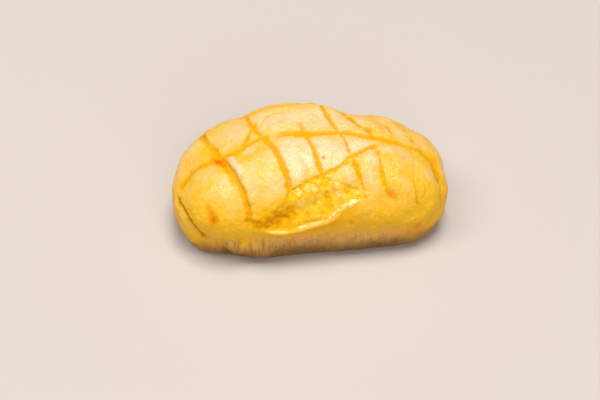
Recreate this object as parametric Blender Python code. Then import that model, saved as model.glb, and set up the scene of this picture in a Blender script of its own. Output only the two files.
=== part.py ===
"""Garlic bread: one oval bun, slashed in a lattice and lifted into a lip along its buttered front.

The bun is a single closed solid. Its plan is a smooth outline, and its dome and its tucked-under
sides are superellipse curves. A disc of points is triangulated with the cuts as fixed lines in it,
and is then wrapped over the bun, where each cut is sunk and each swelling is raised. Metres, +X
along the bun, +Y towards its back, +Z up. The origin is on the ground, under the middle of the
bun's box.
"""

import math
from collections import namedtuple

import bmesh
import bpy
import numpy as np
from mathutils import Vector
from mathutils.bvhtree import BVHTree
from mathutils.geometry import barycentric_transform, delaunay_2d_cdt

MM = 0.001

# Driving dimensions of the smooth bun. The outline is its widest section, seen from above.
OUTLINE_MM = (
    (82, -5), (78, 18), (59, 34), (30, 42), (-4, 51), (-39, 45), (-66, 30),
    (-81, -3), (-75, -30), (-38, -43), (0, -41), (38, -39), (66, -34), (79, -22),
)  # fmt: skip
HEIGHT = 58 * MM
WAIST_HEIGHT = 24 * MM
CROWN = np.array((0, 4)) * MM
FOOT_SHARE = 0.88
ACROSS_POWER = 2.25
ALONG_POWER = 2.2
UNDER_POWER = 2.2

# A crease follows a route over the bun. Each point of a route is a distance along X in millimetres
# and a lean in degrees: 0 points straight up from the bun's middle line, negative to the front.
# A positive depth sinks the crease, and a negative one raises it.
Crease = namedtuple("Crease", "half_width depth route")


def crease(half_width_mm, depth_mm, *route):
    return Crease(half_width_mm * MM, depth_mm * MM, route)


CUTS = {
    "end_cut": crease(
        2.8, 1.9, (-68, 62), (-64, 52), (-61, 24), (-58, 6), (-55, -9), (-52, -21), (-48, -33), (-43, -50)
    ),
    "end_cut_low": crease(1.9, 1.4, (-49, -25), (-46, -38), (-41, -52), (-38, -65), (-37, -84)),
    "nose_cut": crease(2.5, 0.9, (-50, -16), (-54, -19), (-65, -24), (-70, -31), (-74, -42), (-79, -64)),
    "crown_link": crease(1.9, 0.9, (-55, -14), (-44, -12), (-40, -8), (-35, -1), (-28, 5), (-22, 2)),
    "crown_cut": crease(2.2, 1.2, (-24, 3), (-19, 6), (-12, 8), (-4, 8), (6, 7), (18, 8), (34, 4), (50, -1)),
    "crown_end": crease(1.5, 0.6, (40, 2), (48, 0), (55, -1), (61, -3), (68, -6)),
    "back_cut": crease(1.8, 1.0, (-38, 47), (-24, 51), (0, 56), (16, 58), (30, 60)),
    "cut_1": crease(2.1, 1.3, (-31, 14), (-26, 2), (-21, -14), (-17, -34), (-14, -50), (-12, -66)),
    "cut_1_back": crease(1.4, 0.7, (-38, 60), (-36, 46), (-34, 26), (-31, 16), (-28, 6), (-25, -2)),
    "branch": crease(1.2, 0.75, (-31, 34), (-32, 27), (-35, 18), (-37, 7), (-39, 0), (-41, -7)),
    "back_curve": crease(1.1, 0.35, (-33, 15), (-31, 19), (-27, 29), (-24, 35), (-19, 38), (-12, 41)),
    "cut_2": crease(1.6, 1.0, (-5, 14), (-2, 4), (1, -12), (3, -26), (5, -39), (8, -54), (9, -68)),
    "cut_2_back": crease(1.3, 0.5, (-6, 26), (-5, 20), (-4, 13), (-3, 6)),
    "cut_3": crease(1.0, 0.7, (17, 12), (20, 0), (23, -22), (27, -42), (30, -56), (31, -62)),
    "cut_3_back": crease(1.7, 0.9, (5, 66), (9, 48), (11, 37), (15, 17), (19, 3)),
    "cut_4": crease(1.2, 0.6, (38, -4), (39, -16), (40, -29), (41, -42), (43, -56), (45, -66)),
    "cut_4_back": crease(1.6, 0.8, (16, 66), (22, 46), (26, 32), (30, 21), (34, 15), (37, 8), (42, -2)),
    "cut_5": crease(1.0, 0.5, (59, -46), (60, -54), (61, -64), (62, -75)),
    "cut_5_back": crease(1.3, 0.5, (43, 38), (48, 26), (49, 19), (50, 8)),
    "cut_6_back": crease(1.0, 0.4, (58, 44), (60, 34), (62, 26), (63, 10)),
    "right_end_cut": crease(3.6, 0.9, (65, 6), (70, -14), (74, -31), (76, -47), (78, -62)),
    "right_end_low": crease(1.3, 0.5, (76, -45), (78, -60), (78, -74), (77, -88)),
    "slant_cut": crease(1.6, 0.6, (-15, -55), (-9, -51), (-2, -46), (6, -41), (15, -35), (24, -24)),
    "slant_end": crease(1.5, 0.7, (18, -31), (23, -24), (28, -20), (33, -14), (37, -10), (41, -4)),
    "tuck": crease(1.7, 1.0, (-79, -66), (-78, -70), (-75, -75), (-71, -82), (-66, -93), (-63, -103)),
}
LIP = crease(
    3.0, -2.2, (-32, -82), (-25, -83), (-15, -84), (-6, -82), (3, -79), (8, -77), (13, -72), (18, -67),
    (23, -65), (30, -62),
)  # fmt: skip
SWELLS = {
    "butter_hollow": crease(9, 2.0, (-20, -75), (-12, -71), (0, -66), (14, -59), (26, -52)),
    "lifted_edge": crease(3.5, -1.0, (-47, -15), (-45, -26), (-42, -37), (-39, -48), (-36, -60)),
    "tucked_end": crease(7.0, -1.2, (-79, -78), (-76, -90), (-70, -106)),
    "nose": crease(22, -1.2, (-62, -52), (-54, -70)),
    "nose_belly": crease(9, -1.1, (-66, -82), (-55, -84), (-42, -86)),
    "right_belly": crease(9, -0.5, (34, -86), (50, -88), (66, -88)),
    "back": crease(18, -2.2, (-24, 50), (-5, 52), (12, 50)),
    "back_end": crease(16, -1.8, (-74, 22), (-68, 34)),
    "front_foot": crease(11, -1.6, (-47, -104), (-30, -106)),
    "foot_notch": crease(5.0, 1.8, (-54, -96), (-52, -106), (-50, -118)),
}
SHOULDER_DIP = 1.1 * MM
SHOULDER_WIDTH = 7.5 * MM
END_TAPER = 0.14
FOOT_FADE = 3 * MM

# Fineness of the mesh. Ring k of the disc has k times RING_POINTS points.
RINGS = 21
RING_POINTS = 6
WAIST_REACH = 0.74
ROUTE_STEP = 2.6 * MM
ROUTE_GAP = 1.4 * MM
DISC_MERGE = 0.003
SPLINE_SAMPLES = 24
OUTLINE_SAMPLES = 720
ROUTE_SAMPLES = 200

CRUST_COLOUR = (0.83, 0.50, 0.13, 1.0)
CRUST_ROUGHNESS = 0.42


def clear_scene():
    for obj in list(bpy.data.objects):
        bpy.data.objects.remove(obj, do_unlink=True)


def smooth_step(low, high, value):
    share = np.clip((value - low) / (high - low), 0.0, 1.0)
    return share * share * (3.0 - 2.0 * share)


def curve_through(points, count, closed=False):
    """`count` points spaced evenly along a smooth curve through `points`."""
    points = np.asarray(points, float)
    if closed:
        ring = np.vstack((points[-1:], points, points[:2]))
    else:
        before = 2 * points[:1] - points[1:2]
        after = 2 * points[-1:] - points[-2:-1]
        ring = np.vstack((before, points, after))
    share = np.linspace(0, 1, SPLINE_SAMPLES, endpoint=False)[:, None]
    pieces = []
    for a, b, c, d in zip(ring, ring[1:], ring[2:], ring[3:]):
        ab, bc, cd = (math.sqrt(np.linalg.norm(end - start)) for start, end in ((a, b), (b, c), (c, d)))
        leave = (c - b) + bc * ((b - a) / ab - (c - a) / (ab + bc))
        arrive = (c - b) + bc * ((d - c) / cd - (d - b) / (bc + cd))
        pieces.append(
            (2 * share**3 - 3 * share**2 + 1) * b
            + (share**3 - 2 * share**2 + share) * leave
            + (3 * share**2 - 2 * share**3) * c
            + (share**3 - share**2) * arrive
        )
    line = np.vstack(pieces + [points[:1] if closed else points[-1:]])
    return evenly_spaced(line, count)


def evenly_spaced(line, count):
    run = np.append(0, np.cumsum(np.linalg.norm(np.diff(line, axis=0), axis=1)))
    stations = np.linspace(0, run[-1], count)
    return np.column_stack([np.interp(stations, run, column) for column in line.T])


def superellipse(angle, power):
    """The cosine-like and sine-like sides of a superellipse of radius 1 at `angle`."""
    scale = (np.abs(np.cos(angle)) ** power + np.abs(np.sin(angle)) ** power) ** (-1 / power)
    return np.cos(angle) * scale, np.sin(angle) * scale


def bun_surface(disc):
    """Wraps points of the unit disc over the smooth bun.

    The disc's centre is the crown, the circle at WAIST_REACH is the outline, and the disc's rim is
    the edge of the flat foot.
    """
    disc = np.asarray(disc, float)
    reach = np.clip(np.linalg.norm(disc, axis=1), 0, 1)
    turn = np.arctan2(disc[:, 1], disc[:, 0]) / (2 * math.pi) % 1
    outline = curve_through(OUTLINE_MM, OUTLINE_SAMPLES, closed=True) * MM
    stations = np.linspace(0, 1, OUTLINE_SAMPLES)
    spoke = np.column_stack([np.interp(turn, stations, column) for column in outline.T]) - CROWN
    along, across = ((spoke / np.ptp(outline, axis=0)) ** 2).T
    dome_power = ACROSS_POWER + (ALONG_POWER - ACROSS_POWER) * along / (along + across)

    dome_height, dome_share = superellipse(np.clip(reach / WAIST_REACH, 0, 1) * math.pi / 2, dome_power)
    under_angle = np.clip((reach - WAIST_REACH) / (1 - WAIST_REACH), 0, 1) * math.pi / 2
    under_share, under_drop = superellipse(under_angle, UNDER_POWER)
    on_dome = reach <= WAIST_REACH
    share = np.where(on_dome, dome_share, FOOT_SHARE + (1 - FOOT_SHARE) * under_share)
    dome = WAIST_HEIGHT + (HEIGHT - WAIST_HEIGHT) * dome_height
    height = np.where(on_dome, dome, WAIST_HEIGHT * (1 - under_drop))
    return np.column_stack((CROWN + spoke * share[:, None], height))


def disc_points():
    """Points spread evenly over the unit disc in rings, with the rim's points last."""
    points = [(0.0, 0.0)]
    for ring in range(1, RINGS + 1):
        for index in range(RING_POINTS * ring):
            angle = 2 * math.pi * index / (RING_POINTS * ring)
            points.append((math.cos(angle) * ring / RINGS, math.sin(angle) * ring / RINGS))
    return points


def triangulate_disc(points, lines):
    """Points and triangles of the disc, with each of `lines` kept as a chain of edges."""
    points = [Vector(point) for point in points]
    edges = []
    for line in lines:
        first = len(points)
        points += [Vector(point) for point in line]
        edges += [(index, index + 1) for index in range(first, len(points) - 1)]
    found = delaunay_2d_cdt(points, edges, [], 0, DISC_MERGE)
    return np.array([tuple(point) for point in found[0]]), found[2]


class SmoothBun:
    """The smooth bun as a mesh that can tell where on the disc a point of it lies."""

    def __init__(self):
        self.disc, self.faces = triangulate_disc(disc_points(), [])
        self.places = [Vector(place) for place in bun_surface(self.disc)]
        self.tree = BVHTree.FromPolygons(self.places, self.faces)

    def to_disc(self, place, face):
        corners = self.faces[face]
        flat = [Vector((*self.disc[corner], 0)) for corner in corners]
        return barycentric_transform(place, *(self.places[corner] for corner in corners), *flat).xy

    def lay_route(self, route):
        """The route's points in space, and the bun's outward directions there."""
        places = []
        for along, lean in curve_through(route, ROUTE_SAMPLES):
            middle = Vector((along * MM, CROWN[1], WAIST_HEIGHT))
            outward = Vector((0, math.sin(math.radians(lean)), math.cos(math.radians(lean))))
            places.append(self.tree.ray_cast(middle, outward)[0])
        places = np.array(places)
        count = 1 + round(np.linalg.norm(np.diff(places, axis=0), axis=1).sum() / ROUTE_STEP)
        places = evenly_spaced(places, count)
        normals = np.array([self.tree.find_nearest(Vector(place))[1] for place in places])
        return places, normals

    def offset_line(self, places, normals, offset):
        """The route as a line on the disc, moved sideways over the bun by `offset`."""
        sideways = np.cross(np.gradient(places, axis=0), normals)
        sideways /= np.linalg.norm(sideways, axis=1)[:, None]
        line = []
        for place in places + sideways * offset:
            nearest, _, face, _ = self.tree.find_nearest(Vector(place))
            line.append(self.to_disc(nearest, face))
        return line


def nearest_on_route(places, route):
    """Each place's distance to the route, and how far along the route its nearest point is, 0 to 1."""
    nearest = np.full(len(places), np.inf)
    passed = np.zeros(len(places))
    for index, (start, end) in enumerate(zip(route, route[1:])):
        run = end - start
        share = np.clip((places - start) @ run / (run @ run), 0, 1)
        distance = np.linalg.norm(places - start - share[:, None] * run, axis=1)
        closer = distance < nearest
        nearest[closer] = distance[closer]
        passed[closer] = (index + share[closer]) / (len(route) - 1)
    return nearest, passed


def crease_profile(places, crease, route):
    """1 along the middle of a crease, falling to 0 at its edges, and how its two ends fade."""
    distance, passed = nearest_on_route(places, route)
    wall = 1 - smooth_step(0, 1, distance / crease.half_width)
    return wall, smooth_step(0, END_TAPER, np.minimum(passed, 1 - passed)), distance


def crust_heights(places, routes):
    """How far the crust stands out from the smooth bun, with the deepest cut winning at a crossing."""
    sunk = np.zeros(len(places))
    to_cut = np.full(len(places), np.inf)
    for name, cut in CUTS.items():
        wall, fade, distance = crease_profile(places, cut, routes[name])
        sunk = np.maximum(sunk, cut.depth * wall * fade)
        to_cut = np.minimum(to_cut, distance)
    raised = -SHOULDER_DIP * np.exp(-((to_cut / SHOULDER_WIDTH) ** 2))
    for name, swell in SWELLS.items():
        raised -= swell.depth * crease_profile(places, swell, routes[name])[0]
    wall, fade, _ = crease_profile(places, LIP, routes["lip"])
    raised -= LIP.depth * wall * fade
    return (raised - sunk) * smooth_step(0, FOOT_FADE, places[:, 2])


def cut_disc(smooth_bun):
    """The disc with every cut's bottom and edges as lines in it, and the routes of all creases."""
    routes, lines = {}, []
    lined = {**CUTS, "lip": LIP}
    for name, crease in {**lined, **SWELLS}.items():
        places, normals = smooth_bun.lay_route(crease.route)
        routes[name] = places
        if name in lined:
            for offset in (-crease.half_width, 0, crease.half_width):
                lines.append(smooth_bun.offset_line(places, normals, offset))
    disc = np.array(disc_points())
    places = bun_surface(disc)
    free = np.full(len(disc), True)
    for name, crease in lined.items():
        free &= nearest_on_route(places, routes[name])[0] > crease.half_width + ROUTE_GAP
    free[-RING_POINTS * RINGS :] = True
    return triangulate_disc(disc[free], lines), routes


def shape_bun():
    (disc, faces), routes = cut_disc(SmoothBun())
    places = bun_surface(disc)
    bun = bmesh.new()
    corners = [bun.verts.new(place) for place in places]
    for face in faces:
        bun.faces.new([corners[index] for index in face])
    bun.normal_update()
    normals = np.array([vertex.normal for vertex in corners])
    if normals[np.argmax(places[:, 2]), 2] < 0:
        normals = -normals
    places += normals * crust_heights(places, routes)[:, None]
    for vertex, place in zip(corners, places):
        vertex.co = place
    return bun


def close_foot(bun):
    """Fills the open edge under the bun with its flat foot, which the bun rests on."""
    rim = [edge for edge in bun.edges if edge.is_boundary]
    for vertex in {vertex for edge in rim for vertex in edge.verts}:
        vertex.co.z = 0
    bmesh.ops.contextual_create(bun, geom=rim)
    bmesh.ops.triangulate(bun, faces=bun.faces[:])
    bmesh.ops.recalc_face_normals(bun, faces=bun.faces[:])


def centre_on_origin(bun):
    corners = np.array([vertex.co[:2] for vertex in bun.verts])
    middle = (corners.min(axis=0) + corners.max(axis=0)) / 2
    bmesh.ops.translate(bun, verts=bun.verts[:], vec=(-middle[0], -middle[1], 0))


def crust_material():
    material = bpy.data.materials.new("crust")
    material.use_nodes = True
    shader = material.node_tree.nodes["Principled BSDF"]
    shader.inputs["Base Color"].default_value = CRUST_COLOUR
    shader.inputs["Roughness"].default_value = CRUST_ROUGHNESS
    shader.inputs["Metallic"].default_value = 0.0
    return material


def make_loaf():
    bun = shape_bun()
    close_foot(bun)
    centre_on_origin(bun)
    mesh = bpy.data.meshes.new("loaf")
    bun.to_mesh(mesh)
    bun.free()
    mesh.shade_smooth()
    mesh.materials.append(crust_material())
    loaf = bpy.data.objects.new("loaf", mesh)
    bpy.context.scene.collection.objects.link(loaf)
    return loaf


clear_scene()
make_loaf()
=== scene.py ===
"""Looks of the garlic bread: a finely modelled crust, its butter and its garlic, in studio light.

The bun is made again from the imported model's own formulas, with a far finer surface: flat-bottomed
cuts with steep walls, a lumpy buttered hollow, a curled lip, a folded end and a wrinkled matte foot.
Measures of the surface, such as how far a point lies from a cut, are kept on the mesh as attributes,
and the crust's material reads them. Metres, +X along the bun, +Y towards its back, +Z up.
"""

import math
from collections import namedtuple

import bmesh
import bpy
import numpy as np
from mathutils import Matrix, Vector, noise
from mathutils.bvhtree import BVHTree
from mathutils.geometry import barycentric_transform, delaunay_2d_cdt


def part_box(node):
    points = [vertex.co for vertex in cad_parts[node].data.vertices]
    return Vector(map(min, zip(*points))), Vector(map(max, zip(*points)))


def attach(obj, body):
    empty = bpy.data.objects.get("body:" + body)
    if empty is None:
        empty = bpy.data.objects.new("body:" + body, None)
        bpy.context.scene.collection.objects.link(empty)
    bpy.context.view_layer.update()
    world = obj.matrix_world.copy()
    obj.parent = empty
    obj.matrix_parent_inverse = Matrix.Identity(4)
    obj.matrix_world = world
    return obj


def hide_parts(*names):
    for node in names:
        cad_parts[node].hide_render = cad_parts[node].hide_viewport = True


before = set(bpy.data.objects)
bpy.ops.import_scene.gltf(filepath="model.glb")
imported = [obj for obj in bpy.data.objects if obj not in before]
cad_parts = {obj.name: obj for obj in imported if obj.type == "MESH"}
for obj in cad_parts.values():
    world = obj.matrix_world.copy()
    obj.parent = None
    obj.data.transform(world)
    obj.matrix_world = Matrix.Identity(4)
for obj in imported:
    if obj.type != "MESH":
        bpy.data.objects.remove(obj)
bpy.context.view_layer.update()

MM = 0.001

# The smooth bun. Its outline is its widest section, seen from above.
OUTLINE_MM = (
    (82, -5), (78, 18), (59, 34), (30, 42), (-4, 51), (-39, 45), (-66, 30),
    (-81, -3), (-75, -30), (-38, -43), (0, -41), (38, -39), (66, -34), (79, -22),
)  # fmt: skip
HEIGHT = 58 * MM
WAIST_HEIGHT = 24 * MM
CROWN = np.array((0, 4)) * MM
FOOT_SHARE = 0.88
ACROSS_POWER = 2.25
ALONG_POWER = 2.2
UNDER_POWER = 2.2
# The reach on the disc, 0 to 1, at which the wrapped surface passes the outline.
WAIST_REACH = 0.74

# A crease follows a route over the bun. Each point of a route is a distance along X in millimetres
# and a lean in degrees: 0 points straight up from the bun's middle line, negative to the front.
# A positive depth sinks the crease, and a negative one raises it.
Crease = namedtuple("Crease", "half_width depth route")


def crease(half_width_mm, depth_mm, *route):
    return Crease(half_width_mm * MM, depth_mm * MM, route)


CUTS = {
    "end_cut": crease(
        2.8, 1.9, (-68, 62), (-64, 52), (-61, 24), (-58, 6), (-55, -9), (-52, -21), (-48, -33), (-43, -50)
    ),
    "end_cut_low": crease(1.9, 1.4, (-49, -25), (-46, -38), (-41, -52), (-38, -65), (-37, -84)),
    "nose_cut": crease(2.5, 0.9, (-50, -16), (-54, -19), (-65, -24), (-70, -31), (-74, -42), (-79, -64)),
    "crown_link": crease(1.9, 0.9, (-55, -14), (-44, -12), (-40, -8), (-35, -1), (-28, 5), (-22, 2)),
    "crown_cut": crease(
        2.2, 1.2, (-24, 3), (-19, 6), (-12, 8), (-4, 8), (6, 7), (18, 8), (34, 4), (50, -1)
    ),
    "crown_end": crease(1.5, 0.6, (40, 2), (48, 0), (55, -1), (61, -3), (68, -6)),
    "back_cut": crease(1.8, 1.0, (-38, 47), (-24, 51), (0, 56), (16, 58), (30, 60)),
    "cut_1": crease(2.1, 1.3, (-31, 14), (-26, 2), (-21, -14), (-17, -34), (-14, -50), (-12, -66)),
    "cut_1_back": crease(1.4, 0.7, (-38, 60), (-36, 46), (-34, 26), (-31, 16), (-28, 6), (-25, -2)),
    "branch": crease(1.2, 0.75, (-31, 34), (-32, 27), (-35, 18), (-37, 7), (-39, 0), (-41, -7)),
    "back_curve": crease(1.1, 0.35, (-33, 15), (-31, 19), (-27, 29), (-24, 35), (-19, 38), (-12, 41)),
    "cut_2": crease(1.6, 1.0, (-5, 14), (-2, 4), (1, -12), (3, -26), (5, -39), (8, -54), (9, -68)),
    "cut_2_back": crease(1.3, 0.5, (-6, 26), (-5, 20), (-4, 13), (-3, 6)),
    "cut_3": crease(1.0, 0.7, (17, 12), (20, 0), (23, -22), (27, -42), (30, -56), (31, -62)),
    "cut_3_back": crease(1.7, 0.9, (5, 66), (9, 48), (11, 37), (15, 17), (19, 3)),
    "cut_4": crease(1.2, 0.6, (38, -4), (39, -16), (40, -29), (41, -42), (43, -56), (45, -66)),
    "cut_4_back": crease(1.6, 0.8, (16, 66), (22, 46), (26, 32), (30, 21), (34, 15), (37, 8), (42, -2)),
    "cut_5": crease(1.0, 0.5, (59, -46), (60, -54), (61, -64), (62, -75)),
    "cut_5_back": crease(1.3, 0.5, (43, 38), (48, 26), (49, 19), (50, 8)),
    "cut_6_back": crease(1.0, 0.4, (58, 44), (60, 34), (62, 26), (63, 10)),
    "right_end_cut": crease(3.6, 0.9, (65, 6), (70, -14), (74, -31), (76, -47), (78, -62)),
    "right_end_low": crease(1.3, 0.5, (76, -45), (78, -60), (78, -74), (77, -88)),
    "slant_cut": crease(1.6, 0.6, (-15, -55), (-9, -51), (-2, -46), (6, -41), (15, -35), (24, -24)),
    "slant_end": crease(1.5, 0.7, (18, -31), (23, -24), (28, -20), (33, -14), (37, -10), (41, -4)),
    "tuck": crease(1.7, 1.0, (-79, -66), (-78, -70), (-75, -75), (-71, -82), (-66, -93), (-63, -103)),
}
LIP = crease(
    3.0, -2.2, (-32, -82), (-25, -83), (-15, -84), (-6, -82), (3, -79), (8, -77), (13, -72), (18, -67),
    (23, -65), (30, -62),
)  # fmt: skip
SWELLS = {
    "butter_hollow": crease(9, 2.0, (-20, -75), (-12, -71), (0, -66), (14, -59), (26, -52)),
    "lifted_edge": crease(3.5, -1.0, (-47, -15), (-45, -26), (-42, -37), (-39, -48), (-36, -60)),
    "tucked_end": crease(7.0, -1.2, (-79, -78), (-76, -90), (-70, -106)),
    "nose": crease(22, -1.2, (-62, -52), (-54, -70)),
    "nose_belly": crease(9, -1.1, (-66, -82), (-55, -84), (-42, -86)),
    "right_belly": crease(9, -0.5, (34, -86), (50, -88), (66, -88)),
    "back": crease(18, -2.2, (-24, 50), (-5, 52), (12, 50)),
    "back_end": crease(16, -1.8, (-74, 22), (-68, 34)),
    "front_foot": crease(11, -1.6, (-47, -104), (-30, -106)),
    "foot_notch": crease(5.0, 1.8, (-54, -96), (-52, -106), (-50, -118)),
}
SHOULDER_DIP = 1.1 * MM
SHOULDER_WIDTH = 7.5 * MM
END_TAPER = 0.14
FOOT_FADE = 3 * MM
CREASE_REACH = 3 * SHOULDER_WIDTH

# The fine surface of the cuts: flat floors, edges that wander, and a width that comes and goes.
# A cut of at least FULL_TONE_DEPTH has the full colour of a cut.
FLOOR_SHARE = 0.35
EDGE_WOBBLES = ((0.2 * MM, 3.5 * MM), (0.14 * MM, 1.5 * MM))
WIDTH_SPREAD = 0.16
WIDTH_RUN = 7 * MM
FULL_TONE_DEPTH = 0.65 * MM
# Where a cut's colour and its dullness fade out, and how wide the painted shade along the tuck's fold is,
# as shares of the cut's half width.
CUT_COLOUR_FADE = (0.25, 1.3)
CUT_DULL_FADE = (0.8, 1.4)
FOLD_SHADE_SHARE = 0.7
# The edges of the hollow, and of the glaze at the bun's ends, wander this many times as far as a cut's.
WIDE_WOBBLE = 3
# Each kind of unevenness: how far it stands out, and how wide its lumps are. The lip has little of it.
UNEVEN = ((0.4 * MM, 24 * MM), (0.13 * MM, 9 * MM), (0.05 * MM, 2.4 * MM))
LIP_EVENNESS = 0.8

# The lip. Distances across it are from its route, positive towards the hollow. Its inner face points to
# a lean, in degrees, that LIP_FACES gives along X in millimetres. LIP_TURN limits the angle, in degrees,
# between that face and the smooth bun, and LIP_INNER its width. The ridge turns into it over the share
# LIP_ROUNDING of that width. The outer face falls away slowly.
LIP_RIDGE = -0.9 * MM
LIP_ROUNDING = 0.22
LIP_HEIGHT = 1.9 * MM
LIP_FACES = ((-21, -14), (-15, -20), (-10, -26), (-4, -21), (8, -21), (13, -34))
LIP_TURN = (10, 80)
LIP_INNER = (0.8 * MM, 2.2 * MM)
LIP_OUTER = 9 * MM
LIP_OUTER_POWER = 1.3
# A shallow crease runs in front of the lip, and fades out between these millimetres of X.
# Its darker orange colour is painted shade.
LIP_CREASE = 0.15 * MM
LIP_CREASE_PLACE = -3.4 * MM
LIP_CREASE_WIDTH = 0.8 * MM
LIP_CREASE_END = (20, 8)

# The buttered hollow, or basin. Its edge gets softer between the millimetres of X in BASIN_LEFT.
BASIN_ROUTE = (
    (33, -60), (27, -55), (19, -50), (11, -46), (5, -43), (-2, -46), (-8, -50), (-13, -54), (-17, -59),
    (-25, -62), (-33, -69), (-37, -80), (-24, -88), (-8, -87), (5, -82), (20, -74),
)  # fmt: skip
BASIN_STEP = 0.25 * MM
CREAM_RISE = 0.15 * MM
BASIN_EDGE = 2.6 * MM
BASIN_LEFT_EDGE = 8 * MM
BASIN_LEFT = (-10, -22)
BASIN_REACH = 8 * BASIN_EDGE
BASIN_LUMPS = ((0.12 * MM, 5 * MM), (0.06 * MM, 2.2 * MM))

# Where the glaze ends in front: X in millimetres, lean in degrees, and how many degrees it fades over
# to each side. Behind, it ends at an even lean. At the bun's two ends it runs down to an even height.
GLAZE_EDGE = (
    (-83, -108, 10), (-75, -112, 10), (-68, -110, 10), (-61, -102, 10), (-52, -99, 10), (-42, -99, 9),
    (-30, -96, 8), (-21, -92, 7), (-13, -89, 6), (-5, -90, 7), (4, -92, 9), (15, -92, 11), (28, -92, 12),
    (46, -95, 12), (60, -101, 12), (83, -103, 12),
)  # fmt: skip
BACK_GLAZE_EDGE = 100
BACK_GLAZE_FADE = 11
END_GLAZE_HEIGHT = (9 * MM, 19 * MM)
# How many degrees the edge wanders, and how wide its lumps are.
GLAZE_WANDER = ((1.5, 9 * MM), (0.8, 3 * MM))
# How far from the bun's middle its ends begin, and are fully reached. The matte foot gets brown painted
# shade there.
ENDS_BEGIN = (46 * MM, 74 * MM)
# The leans between which the shine and the pale streaks come in, from the front and from behind.
# The pale streaks are partly real crust colour and partly painted sheen.
FRONT_SHINE = (-80, -45)
BACK_SHINE = (60, 20)
BACK_PALE = (105, 60)
# The matte foot has upright wrinkles. They are deeper in soft spots, where their bottoms are painted brown
# as painted shade; each spot is an X in millimetres, a lean in degrees, a width in millimetres, and a
# strength.
WRINKLE_HEIGHT = 0.16 * MM
WRINKLE_SIZE = np.array((1.4, 3, 12)) * MM
# Where the folds' bottoms are painted brown, as painted shade.
WRINKLE_BOTTOMS = (0.4, -1.8)
DEEP_WRINKLES = (
    (-53, -102, 4, 0.5), (-47, -99, 5, 0.5), (-40, -101, 5, 0.7), (-33, -101, 5, 0.5), (-25, -99, 5, 0.5),
    (-16, -100, 5, 0.3), (28, -104, 7, 0.3), (44, -108, 7, 0.3),
)  # fmt: skip
DEEP_WRINKLE_HEIGHT = 0.24 * MM

# Soft spots of colour, given in the same way. A negative strength takes colour away.
TOASTED_SPOTS = (
    (-54, -20, 3, 1.1), (-51, -26, 2.4, 0.8), (-57, -17, 2.4, 0.5), (-49, -34, 2.2, 0.4),
    (-57, -75, 2.6, 0.95), (-58, -70, 2.2, 0.5), (-60, -66, 2.4, 0.35), (7, -25, 1.3, 0.95),
    (-3, 58, 2.4, 0.8), (-22, 59, 2.8, 0.6), (3, 52, 3, 0.3), (25, -33, 1.8, 0.6),
    (45, -58, 2.6, 0.6), (47, -62, 3, 0.35), (35, 14, 2.4, 0.6), (47, 28, 2.2, 0.5),
    (25, 36, 2.4, 0.5), (62, 11, 2, 0.4), (74, -20, 3, 0.5), (74, -36, 3, 0.45),
    (77, -55, 3, 0.35), (77, -74, 3.5, 0.35), (22, -81, 1.8, 0.55), (62, -94, 2, 0.5),
    (-38, 49, 3, 0.4), (-61, 50, 3.5, 0.35), (11, -67, 1.2, 0.6), (7, -50, 1.1, 0.45),
    (8, -55, 1.2, 0.55), (8, -60, 1.2, 0.55), (9, -64, 1.2, 0.5), (30, -60, 1.6, 0.5),
    (-77, -92, 3, 0.3), (-72, -104, 3, 0.2), (-80, -45, 5, 0.25), (70, -100, 6, 0.2),
    (44, 0, 2.4, 0.35), (48, -2, 2.4, 0.35), (54, -25, 2, 0.3), (38, 3, 1.8, 0.45), (60, -97, 6, 0.3),
)  # fmt: skip
# Pale spots, partly pale crust and partly painted highlight where the glaze catches the softbox.
PALE_AND_HIGHLIGHT_SPOTS = (
    (-43, -34, 4, 0.5), (-37, -42, 8, 0.15), (-27, -24, 8, 0.22), (-11, -20, 8, 0.9),
    (-10, -36, 7, 0.8), (5, -13, 8, 0.9), (9, -27, 7, 0.7), (0, -27, 6, 0.8), (-14, 30, 9, 0.4),
    (-24, 28, 6, 0.4), (2, 30, 9, 0.4), (12, 24, 7, 0.4), (23, -12, 7, 0.7), (29, -8, 6, 0.7),
    (24, 26, 7, 0.4), (-47, 22, 10, 0.5), (-66, 20, 8, 0.3), (34, -14, 6, 0.35),
    (-79, -76, 3, 0.4), (-76, -82, 3, 0.35), (-72, -90, 3, 0.25),
    (-18, 34, 14, 0.4), (8, 32, 14, 0.4), (32, 30, 11, 0.4), (52, 16, 8, 0.2),
    (-47, -20, 2, 1.4), (-46, -26, 2.2, 1.4), (-44, -32, 2.2, 1.3), (-43, -38, 1.8, 0.9),
    (-12, -6, 4, 0.8), (-6, -4, 4, 0.8), (-14, 3, 2.5, 0.6), (7, -2, 3, 0.6), (13, -9, 4, 0.8),
    (17, -18, 3.5, 0.8), (19, -25, 3, 0.6), (35, -29, 4, 0.9), (33, -41, 4, 0.6), (36, -50, 3.5, 0.3),
    (41, -16, 3, 0.7), (46, -14, 3, 0.6), (20, -38, 3, 0.6), (22, -45, 3, 0.6),
    (-8, -43, 2.5, 0.6), (-36, -11, 3.5, 0.7), (-28, 19, 3, 0.6), (-20, 16, 3, 0.6), (-48, 1, 2.5, 0.5),
    (-52, -46, 4, 0.35), (-50, -56, 4, 0.35), (-47, -66, 4, 0.3), (-30, -57, 5, 0.15), (-23, -54, 4, 0.25),
    (21, 14, 3, 0.4), (-56, -40, 3, 0.25),
    (-65, -31, 4, -0.3), (-61, -24, 4, -0.3), (43, -42, 5, -0.4), (-65, -55, 4, -0.3),
    (-21, -32, 3, -0.3), (-19, -40, 2, -0.3), (6, -24, 3, -0.2), (43, 8, 4, -0.4), (49, 2, 4, -0.4),
    (46, -27, 4, -0.4), (46, -36, 4, -0.4), (50, -42, 3, -0.3), (51, -57, 4, -0.3),
    (50, -65, 4, -0.3), (71, -9, 3, -0.3), (66, -22, 4, -0.3), (-62, 5, 3, -0.3),
)  # fmt: skip
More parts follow.
